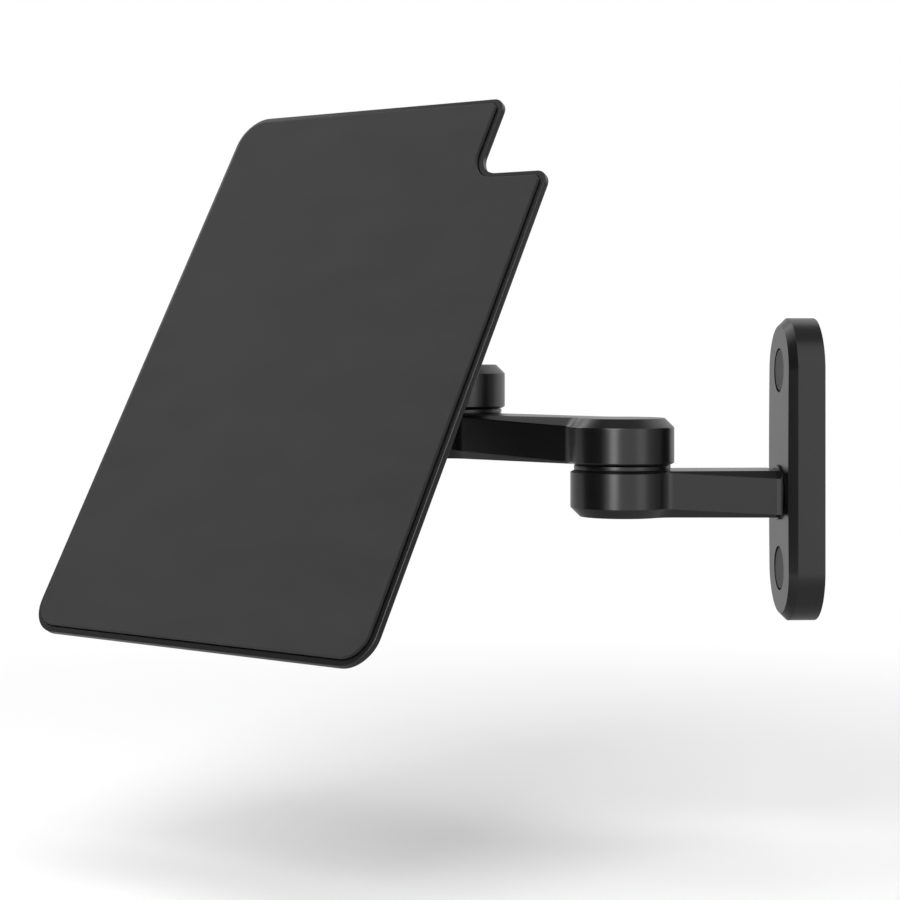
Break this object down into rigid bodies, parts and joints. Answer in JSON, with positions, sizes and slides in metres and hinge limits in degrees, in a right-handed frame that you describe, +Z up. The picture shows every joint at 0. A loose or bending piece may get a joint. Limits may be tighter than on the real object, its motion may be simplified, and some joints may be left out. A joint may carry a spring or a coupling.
{
  "type": "mounting arm",
  "caption": "Double swing arm on a slim wall plate, with stacked swivel hubs and a tilting, turning magnetic holder for a tablet.",
  "frame": {"origin": "centre of the wall plate's back, on the wall", "axes": "+Z up, -Y straight out of the wall, +X to the right of someone who stands with the wall before them"},
  "size_m": [0.2207, 0.3263, 0.2245],
  "materials": {
    "black_metal": "satin black",
    "bright_steel": "plain",
    "black_plastic": "matte",
    "cap_rubber": "matte",
    "soft_pad": "soft matte"
  },
  "bodies": {
    "wall_bracket": {"wall_plate": "black_metal", "upper_screw_cap": "cap_rubber", "lower_screw_cap": "cap_rubber", "wall_ring": "black_metal", "arm_clamp_plate": "bright_steel", "arm_screw_left": "bright_steel", "arm_screw_right": "bright_steel", "rear_arm": "black_metal", "elbow_ring": "black_metal", "elbow_upper_bush": "black_plastic", "elbow_lower_bush": "black_plastic", "elbow_bottom_cap": "black_plastic"},
    "front_arm": {"front_arm": "black_metal", "elbow_shaft": "bright_steel", "elbow_spring_washer": "bright_steel", "elbow_flat_washer": "bright_steel", "elbow_nut": "bright_steel", "head_ring": "black_metal", "head_upper_bush": "black_plastic", "head_lower_bush": "black_plastic", "head_bottom_cap": "black_plastic"},
    "head_link": {"head_link": "black_metal", "head_shaft": "bright_steel", "head_spring_washer": "bright_steel", "head_flat_washer": "bright_steel", "head_nut": "bright_steel", "tilt_pin": "bright_steel", "tilt_nut": "bright_steel", "tilt_cover_left": "black_plastic", "tilt_cover_right": "black_plastic", "tilt_washer_left": "black_plastic", "tilt_washer_right": "black_plastic"},
    "tilt_block": {"tilt_block": "black_metal", "tilt_bush_left": "black_plastic", "tilt_bush_right": "black_plastic", "turn_ring": "black_plastic", "turn_screw": "bright_steel", "turn_spring_washer": "bright_steel"},
    "holder": {"holder_plate": "black_metal", "turn_bush": "black_plastic", "holder_pad": "soft_pad", "magnet_01": "bright_steel", "magnet_02": "bright_steel", "magnet_03": "bright_steel", "magnet_04": "bright_steel", "magnet_05": "bright_steel", "magnet_06": "bright_steel", "magnet_07": "bright_steel", "magnet_08": "bright_steel", "magnet_09": "bright_steel", "magnet_10": "bright_steel", "magnet_11": "bright_steel", "magnet_12": "bright_steel"}
  },
  "joints": [
    {"name": "elbow_swivel", "type": "hinge", "parent": "wall_bracket", "child": "front_arm", "pos_m": [0, -0.0816, 0], "axis": [0, 0, 1], "range_deg": [-42, 60]},
    {"name": "head_swivel", "type": "hinge", "parent": "front_arm", "child": "head_link", "pos_m": [-0.07134, -0.14584, 0.023], "axis": [0, 0, 1], "range_deg": [-150, 5]},
    {"name": "holder_tilt", "type": "hinge", "parent": "head_link", "child": "tilt_block", "pos_m": [-0.01336, -0.20382, 0.03388], "axis": [0.7071, 0.7071, 0], "range_deg": [-45, 60]},
    {"name": "holder_turn", "type": "hinge", "parent": "tilt_block", "child": "holder", "pos_m": [-0.01336, -0.20382, 0.03388], "axis": [0.6124, -0.6124, 0.5], "continuous": true}
  ]
}
